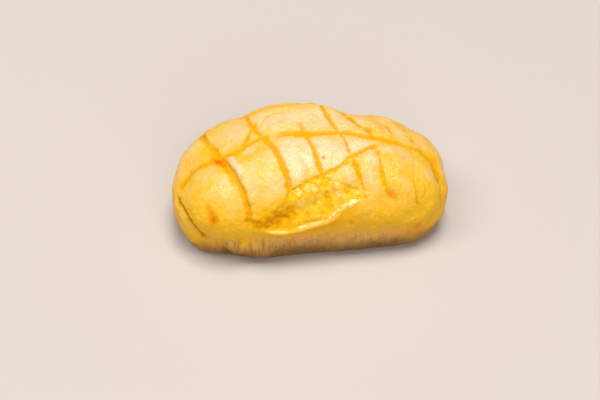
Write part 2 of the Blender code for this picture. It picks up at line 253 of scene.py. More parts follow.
POOL_SPOTS = (
    (-34, -78, 3.5, 0.7), (-30, -77, 4, 0.8), (-25, -77, 4, 0.85), (-20, -76, 4, 0.75),
    (-15, -75, 3.5, 0.6), (-12, -71, 3, 0.6), (-14, -67, 3, 0.5), (-21, -71, 3.5, 0.2),
    (-22, -66, 4, 0.3), (-16, -62, 2.5, 0.4),
)  # fmt: skip
AMBER_SPOTS = (
    (1, -48, 1.5, 0.8), (4, -51, 1.5, 0.6), (-8, -59, 2, 0.7), (7, -66, 1.6, 0.7), (10, -70, 1.5, 0.6),
    (20, -56, 2, 0.7), (-11, -74, 2, 0.6), (-12, -67, 2, 0.9), (28, -49, 1.6, 0.5), (9, -58, 1.4, 0.8),
    (24, -62, 1.6, 0.5), (-1, -57, 2, 0.4),
)  # fmt: skip
# Creamy spots in the hollow, partly butter and partly painted highlight.
CREAM_AND_HIGHLIGHT_SPOTS = (
    (-8, -55, 1.6, 0.9), (-3, -51, 1.6, 0.8), (14, -47, 1.8, 1), (-7, -64, 2.4, 0.5), (16, -59, 2.8, 0.5),
    (31, -58, 2, 0.8), (20, -41, 1.8, 0.8), (22, -46, 1.8, 0.7), (0, -52, 1.6, 0.7), (13, -55, 1.6, 0.6),
    (9, -53, 1.4, 0.5), (0, -74, 3, 0.2), (36, -51, 2.4, 0.6), (33, -47, 2, 0.6),
)  # fmt: skip
GARLIC_SPOTS = (
    (-9, -54, 2, 1), (0, -47, 2, 1), (14, -48, 2, 1), (24, -46, 2, 1), (20, -41, 2, 0.8),
    (4, -60, 2, 0.5),
)  # fmt: skip

# Butter lies on the lip and in one drip below it. Its film's edges and underside are sunk into the crust.
# It thins out over these shares of the inner face's width, and these distances down the outer face.
WET_INSIDE = (1.0, 1.8)
WET_OUTSIDE = (0.3 * MM, 2.8 * MM)
FILM_ON_LIP = 0.16 * MM
FILM_RAGGED = 0.03 * MM
FILM_LUMP = 4 * MM
FILM_SUNK = 0.2 * MM
FILM_UNDER = 0.45 * MM
# How dry the butter on the lip is, along X in millimetres: 0 has the full gloss, 1 none.
LIP_DRYNESS = ((-22, 0.6), (-17, 0.65), (-14, 0.9), (-11, 0.5), (-8, 0))
DRIP = crease(0.75, -0.6, (-14, -84), (-13, -91), (-12, -97), (-12, -101))
DRIP_REACH = 6 * MM
# The drip swells and narrows by this share, in a wave with this many radians along it.
DRIP_WAVE = 0.25
DRIP_RADIANS = 7

# Small pieces: how many, their smallest and largest radius, and how high and how lumpy they are as shares
# of that radius. Their sides are stretched by BIT_STRETCH, and their lumps are BIT_LUMP radii across, in
# a noise that moves on by BIT_SHIFT from piece to piece.
Bits = namedtuple("Bits", "count smallest largest flatness roughness")
BUTTER_BEADS = Bits(6, 0.25 * MM, 0.45 * MM, 0.4, 0.05)
GARLIC_BITS = Bits(14, 0.5 * MM, 0.9 * MM, 0.3, 0.15)
BIT_STRETCH = (0.7, 1.3)
BIT_LUMP = 1.1
BIT_SHIFT = 3
BALL_FINENESS = 3
DRAWS_SEED = 7
# The higher this power, the further the small pieces keep off the lip.
OFF_LIP_POWER = 4

# The measures of the crust that its material reads.
CRUST_MEASURES = (
    "cut", "dull", "fold_shade", "basin", "lump", "pool", "amber", "cream_and_highlight", "wrinkle_shade", "shine", "bead",
    "bead_crease", "glaze", "top", "end", "pale_and_highlight", "toasted", "rise",
)  # fmt: skip

# The noise of the lumps: how rough it is, how much finer each layer of it is, and how many layers it has.
FRACTAL = (1.0, 2.0, 2)
# Where the noise of each kind of lumps starts. A kind with several sizes goes on from there.
EDGE_SEED = 5
WIDTH_SEED = 8
GLAZE_SEED = 11
UNEVEN_SEED = 20
BASIN_SEED = 30
WRINKLE_SEED = 41
FILM_SEED = 51
BIT_SEED = 61

# Fineness of the mesh. The first four lengths are on the unit disc that is wrapped over the bun.
COLUMN_GAP = 0.0047
ROW_GAP = 0.008
RIM_CLEAR = 0.006
DISC_MERGE = 0.0008
RIM_POINTS = 520
COARSE_RINGS = 44
RING_POINTS = 6
ROUTE_STEP = 2 * MM
LINE_STEP = 0.8 * MM
LINE_GAP = 0.5 * MM
# Where lines of points run along a cut and along the lip, as shares of the half width.
LINE_SHARES = (-1, -0.7, -0.35, 0, 0.35, 0.7, 1)
LIP_SHARES = (-2, -1.7, -1.4, -1.1, -0.8, -0.55, -0.4, -0.3, *np.arange(-0.22, 0.65, 0.07), 0.8, 1)
FOOT_GAP = 3 * MM
FOOT_MERGE = 0.0001 * MM
SPLINE_SAMPLES = 24
OUTLINE_SAMPLES = 720
ROUTE_SAMPLES = 240
# A distance that stands for anything out of reach.
FAR = 1.0

# Where the photograph was taken from.
CAMERA_AZIMUTH = -5.5
CAMERA_ELEVATION = 49.3
CAMERA_ROLL = 2.4
CAMERA_TARGET = Vector((-6.9, -19.5, 25)) * MM
CAMERA_DISTANCE = 838.5 * MM
CAMERA_LENS = 85
CAMERA_SENSOR = 36

# The studio. Each light has its place and its two sides in metres, and its brightness.
Light = namedtuple("Light", "place sides radiance")
LIGHTS = {
    "softbox": Light((0.15, 0.2, 3.0), (1.3, 1.3), 12.1),
    "side_softbox": Light((-1.6, -0.1, 2.6), (0.9, 1.7), 5.1),
    "front_fill": Light((0.9, -3.7, 2.9), (5.0, 3.6), 1.35),
}
LIGHT_COLOUR = (1.0, 0.98, 0.96)
WORLD_COLOUR = (1.0, 0.97, 0.94, 1.0)
WORLD_STRENGTH = 0.2
FLOOR_HALF = 4.0


def linear(red, green, blue):
    """A colour as eyes see it, 0 to 255, as the linear colour that a shader takes."""
    channels = np.array((red, green, blue)) / 255
    low = channels / 12.92
    high = ((channels + 0.055) / 1.055) ** 2.4
    return (*np.where(channels <= 0.04045, low, high), 1.0)


# Pale crust colour, which also carries painted highlight.
PALE_CRUST_AND_HIGHLIGHT = linear(255, 222, 185)
GOLD_CRUST = linear(250, 190, 38)
CUT_YELLOW = linear(228, 172, 0)
LUMP_CREAM = linear(255, 214, 84)
BUTTER_YELLOW = linear(254, 198, 10)
FILM_GOLD = linear(244, 180, 8)
POOL_AMBER = linear(240, 168, 2)
POOL_BROWN = linear(214, 138, 2)
SPECKLE_GOLD = linear(250, 182, 16)
# Toasted crust, also used as painted shade in the crease in front of the lip.
TOASTED_AND_CREASE_SHADE = linear(244, 160, 4)
BROWNED = linear(212, 116, 2)
# Painted shade: the dark olive line in the tuck's fold.
FOLD_SHADE_OLIVE = linear(188, 136, 20)
MATTE_BAND = linear(234, 180, 98)
# Painted shade low on the foot, also the colour of its darker mottles.
MATTE_SHADE_AND_MOTTLE = linear(146, 108, 60)
# Painted shade at the foot of the bun's two ends.
FOOT_END_SHADE = linear(184, 132, 66)
WRINKLE_SHADE_BROWN = linear(146, 100, 42)
GARLIC_CREAM = linear(255, 232, 150)
FLOOR_COLOUR = linear(210, 201, 194)

# The sizes of the noises in the materials, and how far they stand out.
PATCH_SIZE = 14 * MM
MOTTLE_SIZE = 3.2 * MM
CLOT_SIZE = 3 * MM
GRAIN_SIZE = 1.3 * MM
CRUST_DETAIL = 3
MOTTLE_RELIEF = 0.45 * MM
GRAIN_RELIEF = 0.5 * MM
RIPPLE_SIZE = 2.5 * MM
GARLIC_PATCH_SIZE = 1.2 * MM
SMALL_RELIEF = 0.1 * MM

# How a value of a noise or a measure becomes the strength of a look. Each ramp carries the value smoothly
# from its first two numbers to its last two, which are 0 and 1 where they are left out.
# Pale streaks on top, partly painted sheen.
PALE_STREAKS_AND_SHEEN = (0.4, 0.7, 0, 0.33)
PALE_MOTTLE = (0.35, 0.6, 0.7, 1.05)
PALE_GRAIN = (0.36, 0.64, 0.45, 1.2)
SPECKLE_GRAIN = (0.5, 0.72)
SPECKLE_PATCHES = (0.4, 0.6, 0.2, 0.6)
FLECK_GRAIN = (0.5, 0.66, 0, 0.65)
FLECK_MOTTLE = (0.4, 0.6)
GROOVE_TOASTING = (0.4, 0.65, 0, 0.35)
CREAM_CLOTS = (0.5, 0.68, 0, 0.6)
CREAM_GRAIN = (0.35, 0.6, 0.6, 1)
AMBER_HOLLOWS = (0, -0.168 * MM, 0, 0.7)
POOL_STAIN = (0.05, 0.7)
POOL_CLOTS = (0.6, 0.4)
CREASE_SHADE = (0, 1, 0, 0.6)
FOOT_RISE = (0.2, 0.8)
FOOT_MOTTLE = (0.4, 0.7, 0, 0.35)
TOASTED_SPOT = (0, 0.55)
BROWNED_SPOT = (0.5, 1.1)
GLOSS_BY_DULLNESS = (0, 1, 1, 0)
GLOSS_BY_POOL = (0, 0.6, 1, 0.1)
ROUGHNESS_BY_GLOSS = (0, 1, 0.75, 0.45)
COAT_BY_SHINE = (0, 1, 0.05, 0.85)
RELIEF_BY_BEAD = (0, 0.6, 1, 0.1)
RELIEF_BY_BASIN = (0, 1, 1, 0.35)
BUTTER_RIPPLE = (0.4, 0.7, 0, 0.3)
GARLIC_PATCHES = (0.35, 0.65)


def smooth_step(low, high, value):
    share = np.clip((value - low) / (high - low), 0.0, 1.0)
    return share * share * (3.0 - 2.0 * share)


def bell(distance, width):
    return np.exp(-((distance / width) ** 2))


def lumps(places, size, seed):
    """Smooth noise at each place, with lumps about `size` across and a spread of 1."""
    start = Vector((seed, 2 * seed, 3 * seed))
    scaled = np.asarray(places) / size
    values = np.array([noise.fractal(Vector(place) + start, *FRACTAL) for place in scaled])
    return values / values.std()


def layered_lumps(places, layers, first_seed):
    """The sum of several kinds of lumps, each with an amount and a size."""
    return sum(
        amount * lumps(places, size, first_seed + number) for number, (amount, size) in enumerate(layers)
    )


def curve_through(points, count, closed=False):
    """`count` points spaced evenly along a smooth curve through `points`."""
    points = np.asarray(points, float)
    if closed:
        ring = np.vstack((points[-1:], points, points[:2]))
    else:
        before = 2 * points[:1] - points[1:2]
        after = 2 * points[-1:] - points[-2:-1]
        ring = np.vstack((before, points, after))
    share = np.linspace(0, 1, SPLINE_SAMPLES, endpoint=False)[:, None]
    pieces = []
    for a, b, c, d in zip(ring, ring[1:], ring[2:], ring[3:]):
        ab, bc, cd = (math.sqrt(np.linalg.norm(end - start)) for start, end in ((a, b), (b, c), (c, d)))
        leave = (c - b) + bc * ((b - a) / ab - (c - a) / (ab + bc))
        arrive = (c - b) + bc * ((d - c) / cd - (d - b) / (bc + cd))
        pieces.append(
            (2 * share**3 - 3 * share**2 + 1) * b
            + (share**3 - 2 * share**2 + share) * leave
            + (3 * share**2 - 2 * share**3) * c
            + (share**3 - share**2) * arrive
        )
    line = np.vstack(pieces + [points[:1] if closed else points[-1:]])
    return evenly_spaced(line, count)


def evenly_spaced(line, count):
    run = np.append(0, np.cumsum(np.linalg.norm(np.diff(line, axis=0), axis=1)))
    stations = np.linspace(0, run[-1], count)
    return np.column_stack([np.interp(stations, run, column) for column in line.T])


def superellipse(angle, power):
    """The cosine-like and sine-like sides of a superellipse of radius 1 at `angle`."""
    scale = (np.abs(np.cos(angle)) ** power + np.abs(np.sin(angle)) ** power) ** (-1 / power)
    return np.cos(angle) * scale, np.sin(angle) * scale


def bun_surface(disc):
    """Wraps points of the unit disc over the smooth bun.

    The disc's centre is the crown, the circle at WAIST_REACH is the outline, and the disc's rim is
    the edge of the flat foot.
    """
    disc = np.asarray(disc, float)
    reach = np.clip(np.linalg.norm(disc, axis=1), 0, 1)
    turn = np.arctan2(disc[:, 1], disc[:, 0]) / (2 * math.pi) % 1
    outline = curve_through(OUTLINE_MM, OUTLINE_SAMPLES, closed=True) * MM
    stations = np.linspace(0, 1, OUTLINE_SAMPLES)
    spoke = np.column_stack([np.interp(turn, stations, column) for column in outline.T]) - CROWN
    along, across = ((spoke / np.ptp(outline, axis=0)) ** 2).T
    dome_power = ACROSS_POWER + (ALONG_POWER - ACROSS_POWER) * along / (along + across)

    dome_height, dome_share = superellipse(np.clip(reach / WAIST_REACH, 0, 1) * math.pi / 2, dome_power)
    under_angle = np.clip((reach - WAIST_REACH) / (1 - WAIST_REACH), 0, 1) * math.pi / 2
    under_share, under_drop = superellipse(under_angle, UNDER_POWER)
    on_dome = reach <= WAIST_REACH
    share = np.where(on_dome, dome_share, FOOT_SHARE + (1 - FOOT_SHARE) * under_share)
    dome = WAIST_HEIGHT + (HEIGHT - WAIST_HEIGHT) * dome_height
    height = np.where(on_dome, dome, WAIST_HEIGHT * (1 - under_drop))
    return np.column_stack((CROWN + spoke * share[:, None], height))


def ring_points():
    """Points in even rings over the unit disc."""
    points = [(0.0, 0.0)]
    for ring in range(1, COARSE_RINGS + 1):
        for index in range(RING_POINTS * ring):
            angle = 2 * math.pi * index / (RING_POINTS * ring)
            points.append((math.cos(angle) * ring / COARSE_RINGS, math.sin(angle) * ring / COARSE_RINGS))
    return points


def staggered_points():
    """Points in staggered rows over the unit disc, closer along X, where the bun is longest."""
    rows, columns = math.ceil(1 / ROW_GAP), math.ceil(1 / COLUMN_GAP)
    row, column = np.mgrid[-rows : rows + 1, -columns : columns + 1]
    points = np.stack(((column + row % 2 / 2) * COLUMN_GAP, row * ROW_GAP), axis=-1).reshape(-1, 2)
    return points[np.linalg.norm(points, axis=1) < 1 - RIM_CLEAR]


def rim_points():
    angles = np.linspace(0, 2 * math.pi, RIM_POINTS, endpoint=False)
    return np.column_stack((np.cos(angles), np.sin(angles)))


def triangulate_disc(points, lines):
    """Points and triangles of the disc, with each of `lines` kept as a chain of edges."""
    points = [Vector(point) for point in points]
    edges = []
    for line in lines:
        first = len(points)
        points += [Vector(point) for point in line]
        edges += [(index, index + 1) for index in range(first, len(points) - 1)]
    found = delaunay_2d_cdt(points, edges, [], 0, DISC_MERGE)
    return np.array([tuple(point) for point in found[0]]), np.array(found[2])


class SmoothBun:
    """The smooth bun as a mesh that can tell where on the disc a point of it lies."""

    def __init__(self):
        self.disc, self.faces = triangulate_disc(ring_points(), [])
        self.places = [Vector(place) for place in bun_surface(self.disc)]
        self.tree = BVHTree.FromPolygons(self.places, self.faces.tolist())

    def to_disc(self, place, face):
        """Where on the disc a place on a triangle of the bun lies."""
        corners = self.faces[face]
        flat = [Vector((*self.disc[corner], 0)) for corner in corners]
        return barycentric_transform(place, *(self.places[corner] for corner in corners), *flat).xy

    def lay_point(self, along, lean):
        """The point of the bun at a distance along X in millimetres and a lean in degrees."""
        middle = Vector((along * MM, CROWN[1], WAIST_HEIGHT))
        outward = Vector((0, math.sin(math.radians(lean)), math.cos(math.radians(lean))))
        return self.tree.ray_cast(middle, outward)[0]

    def lay_route(self, route, step, closed=False):
        """The route's points in space, and the bun's outward directions there."""
        places = np.array([self.lay_point(*point) for point in curve_through(route, ROUTE_SAMPLES, closed)])
        count = 1 + round(np.linalg.norm(np.diff(places, axis=0), axis=1).sum() / step)
        places = evenly_spaced(places, count)
        normals = np.array([self.tree.find_nearest(Vector(place))[1] for place in places])
        return places, normals

    def offset_line(self, places, normals, offset):
        """The route as a line on the disc, moved sideways over the bun by `offset`."""
        sideways = np.cross(np.gradient(places, axis=0), normals)
        sideways /= np.linalg.norm(sideways, axis=1)[:, None]
        line = []
        for place in places + sideways * offset:
            nearest, _, face, _ = self.tree.find_nearest(Vector(place))
            line.append(self.to_disc(nearest, face))
        return line


def nearest_on_route(places, route, reach):
    """Each place's distance to the route, and how far along the route its nearest point is, 0 to 1.

    Places further than `reach` from the route's box count as far away.
    """
    nearest = np.full(len(places), FAR)
    passed = np.zeros(len(places))
    inside = np.all((places > route.min(axis=0) - reach) & (places < route.max(axis=0) + reach), axis=1)
    close = places[inside]
    best = np.full(len(close), FAR)
    share_passed = np.zeros(len(close))
    for index, (start, end) in enumerate(zip(route, route[1:])):
        run = end - start
        share = np.clip((close - start) @ run / (run @ run), 0, 1)
        distance = np.linalg.norm(close - start - share[:, None] * run, axis=1)
        closer = distance < best
        best[closer] = distance[closer]
        share_passed[closer] = (index + share[closer]) / (len(route) - 1)
    nearest[inside] = best
    passed[inside] = share_passed
    return nearest, passed


def inside_outline(points, outline):
    """Whether each flat point lies inside the closed outline."""
    x, y = points.T
    crossings = np.zeros(len(points), bool)
    for (x0, y0), (x1, y1) in zip(outline, np.roll(outline, -1, axis=0)):
        if y0 != y1:
            crossings ^= ((y0 > y) != (y1 > y)) & (x < x0 + (y - y0) * (x1 - x0) / (y1 - y0))
    return crossings


def along_and_lean(places):
    """Each place's distance along X in millimetres and its lean in degrees."""
    lean = np.degrees(np.arctan2(places[:, 1] - CROWN[1], places[:, 2] - WAIST_HEIGHT))
    return np.column_stack((places[:, 0] / MM, lean))


def vertex_normals(places, faces):
    corners = places[faces]
    face_normals = np.cross(corners[:, 1] - corners[:, 0], corners[:, 2] - corners[:, 0])
    normals = np.zeros_like(places)
    for corner in range(3):
        np.add.at(normals, faces[:, corner], face_normals)
    normals /= np.linalg.norm(normals, axis=1)[:, None]
    return normals


def fine_disc(smooth_bun):
    """The disc's fine points and triangles, with lines along the cuts, and the routes of all creases."""
    routes, lines = {}, []
    lined = {**CUTS, "lip": LIP}
    for name, shape in {**lined, **SWELLS}.items():
        routes[name] = smooth_bun.lay_route(shape.route, ROUTE_STEP)[0]
    for name, shape in lined.items():
        places, normals = smooth_bun.lay_route(shape.route, LINE_STEP)
        for share in LIP_SHARES if name == "lip" else LINE_SHARES:
            lines.append(smooth_bun.offset_line(places, normals, share * shape.half_width))
    routes["basin"] = smooth_bun.lay_route(BASIN_ROUTE, ROUTE_STEP, closed=True)[0]
    disc = staggered_points()
    places = bun_surface(disc)
    free = np.full(len(disc), True)
    for name, shape in lined.items():
        widest = -min(LIP_SHARES if name == "lip" else LINE_SHARES)
        clear = shape.half_width * widest + LINE_GAP
        free &= nearest_on_route(places, routes[name], clear)[0] > clear
    return triangulate_disc(np.vstack((disc[free], rim_points())), lines), routes


class Crust:
    """The bun's fine surface: its places, how far they stand out, and the measures its material reads."""

    def __init__(self):
        self.bun = SmoothBun()
        (disc, self.faces), self.routes = fine_disc(self.bun)
        self.smooth = bun_surface(disc)
        self.normals = vertex_normals(self.smooth, self.faces)
        if self.normals[np.argmax(self.smooth[:, 2]), 2] < 0:
            self.faces = self.faces[:, ::-1]
            self.normals = -self.normals
        self.where = along_and_lean(self.smooth)
        self.measure_cuts()
        self.measure_lip()
        self.measure_basin()
        self.measure_glaze()
        # Pale spots, partly painted highlight.
        self.pale_and_highlight = self.spots(PALE_AND_HIGHLIGHT_SPOTS)
        self.toasted = self.spots(TOASTED_SPOTS)
        self.raise_crust()
        self.centre()
        self.drip = self.bun.lay_route(DRIP.route, LINE_STEP)[0]

    def crease_profile(self, name, shape, floor_share=0.0, wobble=0.0, narrowed=1.0):
        """1 along a crease's middle and 0 past its edges, how its ends fade, and how far its middle is."""
        reach = shape.half_width + CREASE_REACH
        distance, passed = nearest_on_route(self.smooth, self.routes[name], reach)
        distance = np.where(distance < FAR, distance * narrowed + wobble, FAR)
        profile = 1 - smooth_step(floor_share, 1, distance / shape.half_width)
        return profile, smooth_step(0, END_TAPER, np.minimum(passed, 1 - passed)), distance

    def spots(self, spots):
        """How strongly the soft spots cover each place, up to 1."""
        total = np.zeros(len(self.smooth))
        for along, lean, width, strength in spots:
            centre = np.array(self.bun.lay_point(along, lean))
            total += strength * bell(np.linalg.norm(self.smooth - centre, axis=1), width * MM)
        return np.minimum(total, 1)

    def measure_cuts(self):
        """How far the cuts are sunk, where they have their colour, and where they are dull."""
        self.wobble = layered_lumps(self.smooth, EDGE_WOBBLES, EDGE_SEED)
        narrowed = 1 + WIDTH_SPREAD * lumps(self.smooth, WIDTH_RUN, WIDTH_SEED)
        self.sunk = np.zeros(len(self.smooth))
        self.cut = np.zeros(len(self.smooth))
        self.dull = np.zeros(len(self.smooth))
        self.to_cut = np.full(len(self.smooth), FAR)
        for name, cut in CUTS.items():
            profile, fade, distance = self.crease_profile(name, cut, FLOOR_SHARE, self.wobble, narrowed)
            tone = fade * min(1, cut.depth / FULL_TONE_DEPTH)
            share = distance / cut.half_width
            self.sunk = np.maximum(self.sunk, cut.depth * profile * fade)
            self.cut = np.maximum(self.cut, tone * (1 - smooth_step(*CUT_COLOUR_FADE, share)))
            self.dull = np.maximum(self.dull, tone * (1 - smooth_step(*CUT_DULL_FADE, share)))
            self.to_cut = np.minimum(self.to_cut, distance)
            # The tuck's fold gets a dark olive line of painted shade.
            if name == "tuck":
                self.fold_shade = bell(share, FOLD_SHADE_SHARE) * fade

    def measure_lip(self):
        """The lip's bead, the crease in front of it, and where butter lies on it."""
        _, fade, distance = self.crease_profile("lip", LIP)
        route = curve_through(LIP.route, ROUTE_SAMPLES)
        side = np.sign(self.where[:, 1] - np.interp(self.where[:, 0], *route.T))
        self.across_lip = distance * side
        facing = np.degrees(np.arctan2(self.normals[:, 1], self.normals[:, 2]))
        wanted = np.interp(self.where[:, 0], *np.array(LIP_FACES).T)
        turn = np.radians(np.clip(wanted - facing, *LIP_TURN))
        inner = np.clip(LIP_HEIGHT / np.tan(turn), *LIP_INNER)
        self.lip_height = np.minimum(LIP_HEIGHT, inner * np.tan(turn))
        from_ridge = self.across_lip - LIP_RIDGE
        inside = LIP_ROUNDING * np.logaddexp(0, from_ridge / inner / LIP_ROUNDING)
        outside = np.clip(-from_ridge / LIP_OUTER, 0, 1)
        self.bead = np.clip(1 - inside, 0, 1) * (1 - outside**LIP_OUTER_POWER) * fade
        along = smooth_step(*LIP_CREASE_END, self.where[:, 0])
        self.bead_crease = bell(self.across_lip - LIP_CREASE_PLACE, LIP_CREASE_WIDTH) * fade * along
        wet_inside = 1 - smooth_step(*WET_INSIDE, from_ridge / inner)
        wet_outside = 1 - smooth_step(*WET_OUTSIDE, -from_ridge)
        self.wet_lip = wet_inside * wet_outside * fade

    def measure_basin(self):
        """Where the buttered hollow is, its lumps, and the soft spots of its butter, some of them partly
        painted highlight.
        """
        outline = curve_through(BASIN_ROUTE, ROUTE_SAMPLES, closed=True)
        to_edge = nearest_on_route(self.smooth, self.routes["basin"], BASIN_REACH)[0]
        inward = np.where(inside_outline(self.where, outline), to_edge, -to_edge)
        behind_lip = smooth_step(0, LIP_INNER[1], self.across_lip - LIP_RIDGE)
        left = smooth_step(*BASIN_LEFT, self.where[:, 0])
        half_edge = (BASIN_EDGE + (BASIN_LEFT_EDGE - BASIN_EDGE) * left) / 2
        self.basin = smooth_step(-half_edge, half_edge, inward + self.wobble * WIDE_WOBBLE) * behind_lip
        self.lump = layered_lumps(self.smooth, BASIN_LUMPS, BASIN_SEED) * self.basin
        self.pool = self.spots(POOL_SPOTS)
        self.amber = self.spots(AMBER_SPOTS) * self.basin
        self.cream_and_highlight = self.spots(CREAM_AND_HIGHLIGHT_SPOTS) * self.basin

    def measure_glaze(self):
        """Where the glossy glaze lies above the matte foot, where it shines, and where it is pale, partly
        as painted sheen.
        """
        along, edges, fades = np.array(GLAZE_EDGE).T
        edge = np.interp(self.where[:, 0], along, edges)
        fade = np.interp(self.where[:, 0], along, fades)
        lean = self.where[:, 1] + layered_lumps(self.smooth, GLAZE_WANDER, GLAZE_SEED)
        front = smooth_step(-1, 1, (lean - edge) / fade)
        behind = 1 - smooth_step(-1, 1, (lean - BACK_GLAZE_EDGE) / BACK_GLAZE_FADE)
        self.end = smooth_step(*ENDS_BEGIN, np.abs(self.smooth[:, 0]))
        self.rise = self.smooth[:, 2] / WAIST_HEIGHT
        level = smooth_step(*END_GLAZE_HEIGHT, self.smooth[:, 2] + self.wobble * WIDE_WOBBLE)
        self.glaze = np.maximum(front * behind, level * self.end)
        # Where the pale streaks, partly painted sheen, lie on top.
        self.top = smooth_step(*FRONT_SHINE, lean) * smooth_step(*BACK_PALE, lean)
        self.shine = smooth_step(*FRONT_SHINE, lean) * smooth_step(*BACK_SHINE, lean)

    def raise_crust(self):
        """Works out how far the crust stands out."""
        height = -SHOULDER_DIP * bell(self.to_cut, SHOULDER_WIDTH)
        for name, swell in SWELLS.items():
            height -= swell.depth * self.crease_profile(name, swell)[0]
        height += layered_lumps(self.smooth, UNEVEN, UNEVEN_SEED) * (1 - LIP_EVENNESS * self.bead)
        height += self.lip_height * self.bead - LIP_CREASE * self.bead_crease
        height -= self.sunk * (1 - self.bead) + BASIN_STEP * self.basin
        folds = lumps(self.smooth / WRINKLE_SIZE, 1, WRINKLE_SEED)
        deep = self.spots(DEEP_WRINKLES)
        height += folds * (WRINKLE_HEIGHT * (1 - self.glaze) + DEEP_WRINKLE_HEIGHT * deep)
        # The deep wrinkles' bottoms get brown painted shade.
        self.wrinkle_shade = smooth_step(*WRINKLE_BOTTOMS, folds) * deep
        height += self.lump + CREAM_RISE * self.cream_and_highlight
        self.height = height * smooth_step(0, FOOT_FADE, self.smooth[:, 2])

    def centre(self):
        """Works out the move from the bun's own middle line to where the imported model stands."""
        low, high = (np.array(corner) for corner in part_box("loaf"))
        places = self.places(self.height)
        middle = (places.min(axis=0) + places.max(axis=0)) / 2
        self.to_frame = np.append(((low + high) / 2 - middle)[:2], 0)

    def places(self, height):
        return self.smooth + self.normals * height[:, None]


def open_edges(faces):
    """The edges that only one triangle has, in the direction that it has them."""
    edges = np.concatenate((faces[:, [0, 1]], faces[:, [1, 2]], faces[:, [2, 0]]))
    known = {(int(a), int(b)) for a, b in edges}
    return [(a, b) for a, b in known if (b, a) not in known]


def fill_foot(places, faces):
    """The bun's places and triangles with its flat foot filled in."""
    following = {b: a for a, b in open_edges(faces)}
    rim = [next(iter(following))]
    while following[rim[-1]] != rim[0]:
        rim.append(following[rim[-1]])
    places[rim, 2] = 0
    outline = places[rim, :2]
    low, high = outline.min(axis=0), outline.max(axis=0)
    grid = np.mgrid[low[0] : high[0] : FOOT_GAP, low[1] : high[1] : FOOT_GAP].reshape(2, -1).T
    to_rim = np.linalg.norm(grid[:, None] - outline[None], axis=2).min(axis=1)
    grid = grid[inside_outline(grid, outline) & (to_rim > FOOT_GAP / 2)]
    points = [Vector(point) for point in np.vstack((outline, grid))]
    loop = list(range(len(rim)))
    found = delaunay_2d_cdt(points, [], [loop], 1, FOOT_MERGE)
    added = np.column_stack((grid, np.zeros(len(grid))))
    numbers = np.concatenate((rim, len(places) + np.arange(len(grid))))
    foot = numbers[np.array([[found[3][corner][0] for corner in face] for face in found[2]])]
    corners = np.vstack((places, added))[foot[0]]
    if np.cross(corners[1] - corners[0], corners[2] - corners[0])[2] > 0:
        foot = foot[:, ::-1]
    return np.vstack((places, added)), np.vstack((faces, foot))


def make_mesh(name, places, faces, measures=()):
    """A smooth-shaded object, with `measures` kept as attributes of its points."""
    mesh = bpy.data.meshes.new(name)
    mesh.from_pydata(places.tolist(), [], faces.tolist())
    mesh.shade_smooth()
    for measure, values in dict(measures).items():
        attribute = mesh.attributes.new(measure, "FLOAT", "POINT")
        attribute.data.foreach_set("value", np.asarray(values, np.float32))
    obj = bpy.data.objects.new(name, mesh)
    bpy.context.scene.collection.objects.link(obj)
    return obj


def make_bun(crust):
    places, faces = fill_foot(crust.places(crust.height), crust.faces)
    added = np.zeros(len(places) - len(crust.smooth))
    measures = {name: np.append(getattr(crust, name), added) for name in CRUST_MEASURES}
    return make_mesh("bun_crust", places + crust.to_frame, faces, measures)


def close_shell(top, bottom, faces):
    """Places and triangles of a closed shell: `faces` on top, turned over below, and walls between."""
    rim = np.array(open_edges(faces))
    under = rim + len(top)
    walls = np.vstack((np.column_stack((rim[:, ::-1], under[:, 0])), np.column_stack((under, rim[:, 1]))))
    return np.vstack((top, bottom)), np.vstack((faces, faces[:, ::-1] + len(top), walls))


def make_butter_film(crust):
    """The butter as a thin shell over the crust."""
    ragged = FILM_RAGGED * lumps(crust.smooth, FILM_LUMP, FILM_SEED)
    on_lip = (FILM_ON_LIP + FILM_SUNK) * crust.wet_lip - FILM_SUNK + ragged * crust.bead
    distance, passed = nearest_on_route(crust.smooth, crust.drip, DRIP_REACH)
    narrowed = 1 - DRIP_WAVE + DRIP_WAVE * np.sin(passed * DRIP_RADIANS)
    drip = -DRIP.depth * (1 - distance / DRIP.half_width * narrowed)
    film = np.maximum.reduce((on_lip, drip, np.full(len(drip), -FILM_SUNK)))
    covered = (film > -FILM_SUNK)[crust.faces].any(axis=1)
    used, faces = np.unique(crust.faces[covered], return_inverse=True)
    faces = faces.reshape(-1, 3)
    top = crust.places(crust.height + film)[used]
    bottom = crust.places(crust.height - FILM_UNDER)[used]
    places, faces = close_shell(top, bottom, faces)
    amber = np.tile(smooth_step(-FILM_SUNK, 0, drip[used]), 2)
    dry = np.tile(np.interp(crust.where[used, 0], *np.array(LIP_DRYNESS).T), 2)
    return make_mesh("butter_film", places + crust.to_frame, faces, {"amber": amber, "dry": dry})


def make_ball():
    """Places and triangles of a ball of radius 1."""
    ball = bmesh.new()
    bmesh.ops.create_icosphere(ball, subdivisions=BALL_FINENESS, radius=1)
    places = np.array([tuple(vertex.co) for vertex in ball.verts])
    faces = np.array([[vertex.index for vertex in face.verts] for face in ball.faces])
    ball.free()
    return places, faces


def scatter(name, crust, bits, likely, draws):
    """One mesh of small lumps lying on the crust, most of them where `likely` is highest."""
    ball, ball_faces = make_ball()
    surface = crust.places(crust.height)
    normals = vertex_normals(surface, crust.faces)
    chosen = draws.choice(len(surface), bits.count, replace=False, p=likely / likely.sum())
    places, faces = [], []
    for number, index in enumerate(chosen):
        radius = draws.uniform(bits.smallest, bits.largest)
        uneven = 1 + bits.roughness * lumps(ball + number * BIT_SHIFT, BIT_LUMP, BIT_SEED)[:, None]
        stretch = np.array((draws.uniform(*BIT_STRETCH), draws.uniform(*BIT_STRETCH), bits.flatness))
        turn = Matrix.Rotation(draws.uniform(0, 2 * math.pi), 3, "Z")
        upright = Vector(normals[index]).to_track_quat("Z", "Y").to_matrix() @ turn
        lump = (ball * uneven * stretch * radius) @ np.array(upright).T
        faces.append(ball_faces + number * len(ball))
        places.append(surface[index] + lump)
    return make_mesh(name, np.vstack(places) + crust.to_frame, np.vstack(faces))


